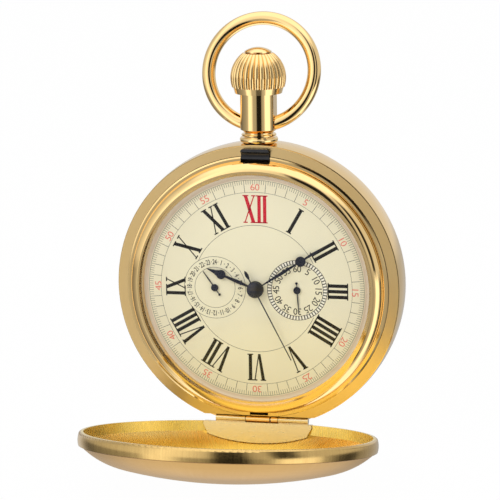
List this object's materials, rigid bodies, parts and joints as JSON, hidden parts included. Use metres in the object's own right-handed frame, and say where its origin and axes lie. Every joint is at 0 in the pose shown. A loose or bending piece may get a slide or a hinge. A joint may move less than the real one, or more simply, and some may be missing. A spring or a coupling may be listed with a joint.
{
  "type": "pocket watch",
  "caption": "Hunter-case pocket watch: hinged front lid, swinging bow, crown that presses and pulls, dial with a day-hour subdial, small seconds and sweep seconds.",
  "frame": {"origin": "centre of the flat on the back cover", "axes": "+Z towards 12 o'clock and the pendant, -Y out of the dial, +X towards 3 o'clock"},
  "size_m": [0.0476, 0.0544, 0.0721],
  "materials": {
    "polished_gold": "polished",
    "satin_gold": "satin",
    "crystal": "clear",
    "dial": "gloss enamel",
    "blued_steel": "blued and polished",
    "steel": "polished",
    "gilt_plate": "frosted gilt",
    "movement_brass": "turned",
    "ruby": "polished"
  },
  "bodies": {
    "case": {"case_band": "polished_gold", "hinge_lug": "polished_gold", "bezel": "polished_gold", "crystal": "crystal", "case_back": "polished_gold", "pendant": "polished_gold", "casing_ring": "movement_brass", "case_screws": "blued_steel", "dial": "dial", "mainplate": "gilt_plate", "barrel_bridge": "gilt_plate", "train_bridge": "gilt_plate", "balance_cock": "gilt_plate", "pallet_cock": "gilt_plate", "jewels": "ruby", "bridge_screws": "blued_steel", "crown_wheel_core": "steel", "click_spring": "steel", "hairspring": "blued_steel", "lid_spring": "steel"},
    "lid": {"lid_shell": "satin_gold", "lid_hinge_plate": "polished_gold", "hinge_pin": "steel"},
    "bow": {"bow": "polished_gold"},
    "winding": {"winding_pinion": "steel"},
    "stem": {"winding_stem": "steel", "stem_collar": "steel"},
    "crown": {"crown": "polished_gold", "crown_cap": "polished_gold"},
    "catch": {"lid_catch": "steel"},
    "crown_wheel": {"crown_wheel": "steel"},
    "ratchet": {"ratchet_wheel": "steel", "barrel_arbor": "steel", "ratchet_screw": "blued_steel"},
    "click": {"click": "steel"},
    "fourth": {"fourth_wheel": "movement_brass", "small_seconds_hand": "blued_steel"},
    "third": {"third_wheel": "movement_brass"},
    "centre": {"centre_wheel": "movement_brass", "cannon_pinion": "steel", "minute_hand": "blued_steel"},
    "barrel": {"barrel_drum": "movement_brass", "barrel_cover": "movement_brass", "mainspring": "steel"},
    "sweep": {"sweep_arbor": "steel", "sweep_seconds_hand": "blued_steel"},
    "escape": {"escape_wheel": "steel"},
    "minute_wheel": {"minute_wheel": "movement_brass"},
    "hour": {"hour_wheel": "movement_brass", "hour_hand": "blued_steel"},
    "day": {"day_wheel": "movement_brass", "day_hand": "blued_steel"},
    "lever": {"pallet_lever": "steel"},
    "balance": {"balance_wheel": "movement_brass"}
  },
  "joints": [
    {"name": "lid_close", "type": "hinge", "parent": "case", "child": "lid", "pos_m": [0, -0.00855, -0.02237], "axis": [-1, 0, 0], "range_deg": [0, 80.1]},
    {"name": "bow_swing", "type": "hinge", "parent": "case", "child": "bow", "pos_m": [0, -0.0064, 0.027], "axis": [1, 0, 0], "range_deg": [-74, 106]},
    {"name": "crown_wind", "type": "hinge", "parent": "case", "child": "winding", "pos_m": [0, -0.0064, 0], "axis": [0, 0, 1], "continuous": true},
    {"name": "crown_pull", "type": "slide", "parent": "winding", "child": "stem", "axis": [0, 0, 1], "range_m": [0, 0.001]},
    {"name": "crown_press", "type": "slide", "parent": "stem", "child": "crown", "axis": [0, 0, 1], "range_m": [-0.0008, 0], "stiffness_N_per_m": 300},
    {"name": "catch_release", "type": "slide", "parent": "case", "child": "catch", "axis": [0, 0, 1], "range_m": [-0.0004, 0]},
    {"name": "crown_wheel_turn", "type": "hinge", "parent": "case", "child": "crown_wheel", "pos_m": [0.00001, 0, 0.0085], "axis": [0, 1, 0], "continuous": true},
    {"name": "ratchet_turn", "type": "hinge", "parent": "case", "child": "ratchet", "pos_m": [-0.00659, 0, 0.0037], "axis": [0, 1, 0], "continuous": true},
    {"name": "click_lift", "type": "hinge", "parent": "case", "child": "click", "pos_m": [-0.01257, 0, -0.00048], "axis": [0, -1, 0], "range_deg": [0, 8]},
    {"name": "fourth_turn", "type": "hinge", "parent": "case", "child": "fourth", "pos_m": [0.0069, 0, 0], "axis": [0, 1, 0], "continuous": true},
    {"name": "third_turn", "type": "hinge", "parent": "case", "child": "third", "pos_m": [0.00398, 0, 0.00365], "axis": [0, 1, 0], "continuous": true},
    {"name": "centre_turn", "type": "hinge", "parent": "case", "child": "centre", "pos_m": [0, 0, 0], "axis": [0, 1, 0], "continuous": true},
    {"name": "barrel_turn", "type": "hinge", "parent": "case", "child": "barrel", "pos_m": [-0.00659, 0, 0.0037], "axis": [0, 1, 0], "continuous": true},
    {"name": "sweep_turn", "type": "hinge", "parent": "case", "child": "sweep", "pos_m": [0, 0, 0], "axis": [0, 1, 0], "continuous": true},
    {"name": "escape_turn", "type": "hinge", "parent": "case", "child": "escape", "pos_m": [0.00888, 0, -0.00343], "axis": [0, 1, 0], "continuous": true},
    {"name": "minute_wheel_turn", "type": "hinge", "parent": "case", "child": "minute_wheel", "pos_m": [-0.00244, 0, 0.00056], "axis": [0, 1, 0], "continuous": true},
    {"name": "hour_turn", "type": "hinge", "parent": "case", "child": "hour", "pos_m": [0, 0, 0], "axis": [0, 1, 0], "continuous": true},
    {"name": "day_turn", "type": "hinge", "parent": "case", "child": "day", "pos_m": [-0.0069, 0, 0], "axis": [0, 1, 0], "continuous": true},
    {"name": "lever_rock", "type": "hinge", "parent": "case", "child": "lever", "pos_m": [0.00722, 0, -0.00581], "axis": [0, 1, 0], "range_deg": [-5, 5]},
    {"name": "balance_swing", "type": "hinge", "parent": "case", "child": "balance", "pos_m": [0.00515, 0, -0.00875], "axis": [0, 1, 0], "range_deg": [-150, 150], "stiffness_Nm_per_rad": 0.000002}
  ],
  "couplings": [
    {"joint": "catch_release", "follows": "crown_press", "ratio": 0.5},
    {"joint": "crown_wheel_turn", "follows": "crown_wind", "ratio": -0.6},
    {"joint": "ratchet_turn", "follows": "crown_wind", "ratio": 0.36},
    {"joint": "third_turn", "follows": "fourth_turn", "ratio": -0.13333},
    {"joint": "centre_turn", "follows": "fourth_turn", "ratio": 0.016667},
    {"joint": "barrel_turn", "follows": "fourth_turn", "ratio": -0.0027778},
    {"joint": "sweep_turn", "follows": "fourth_turn", "ratio": 1},
    {"joint": "escape_turn", "follows": "fourth_turn", "ratio": -10},
    {"joint": "minute_wheel_turn", "follows": "fourth_turn", "ratio": -0.0055556},
    {"joint": "hour_turn", "follows": "fourth_turn", "ratio": 0.0013889},
    {"joint": "day_turn", "follows": "fourth_turn", "ratio": 0.00069444}
  ]
}
